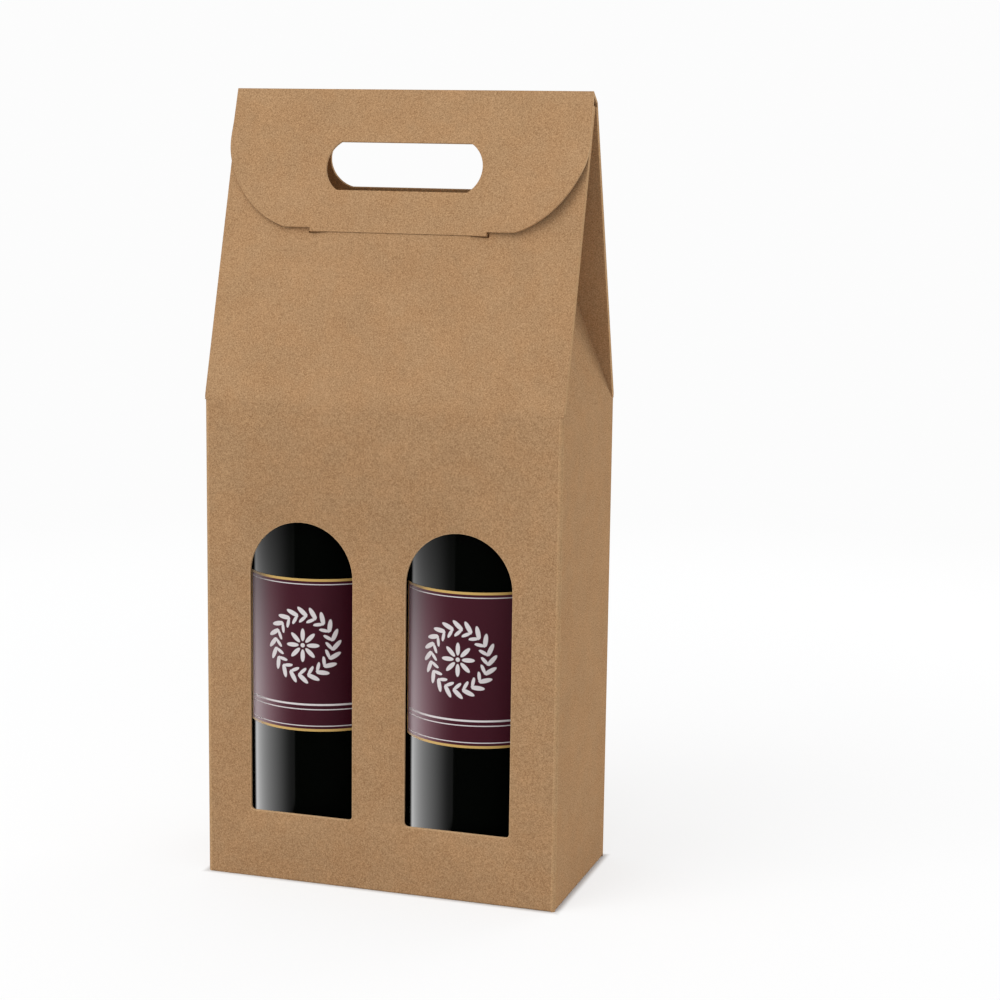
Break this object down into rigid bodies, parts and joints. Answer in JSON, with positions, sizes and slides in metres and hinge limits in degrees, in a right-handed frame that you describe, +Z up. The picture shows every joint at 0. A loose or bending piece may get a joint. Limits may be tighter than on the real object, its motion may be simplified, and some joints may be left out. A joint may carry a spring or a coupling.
{
  "type": "bottle shipping box",
  "caption": "Gable-topped corrugated carton with a carrying hole, tuck-in lid flap and arched windows, holding sealed bottles.",
  "frame": {"origin": "middle of the carton's base, on the surface it stands on", "axes": "+Z up, -Y towards the side with the windows, the roof's ridge along X"},
  "size_m": [0.18, 0.09, 0.385],
  "materials": {
    "kraft_board": "brown kraft micro-corrugated board, matt, with fine fibres",
    "dark_glass": "very dark green bottle glass, glossy, looks black when full",
    "label_paper": "maroon printed paper with a gold border, satin",
    "gold_foil": "gold lacquered foil, satin"
  },
  "bodies": {
    "box": {"carton": "kraft_board", "divider": "kraft_board", "bottle_left": "dark_glass", "bottle_right": "dark_glass", "label_left": "label_paper", "label_right": "label_paper", "capsule_left": "gold_foil", "capsule_right": "gold_foil"},
    "lid_flap": {"lid": "kraft_board"}
  },
  "joints": [
    {"name": "lid_hinge", "type": "hinge", "parent": "box", "child": "lid_flap", "pos_m": [0, 0.0033, 0.38], "axis": [-1, 0, 0], "range_deg": [0, 170]}
  ]
}
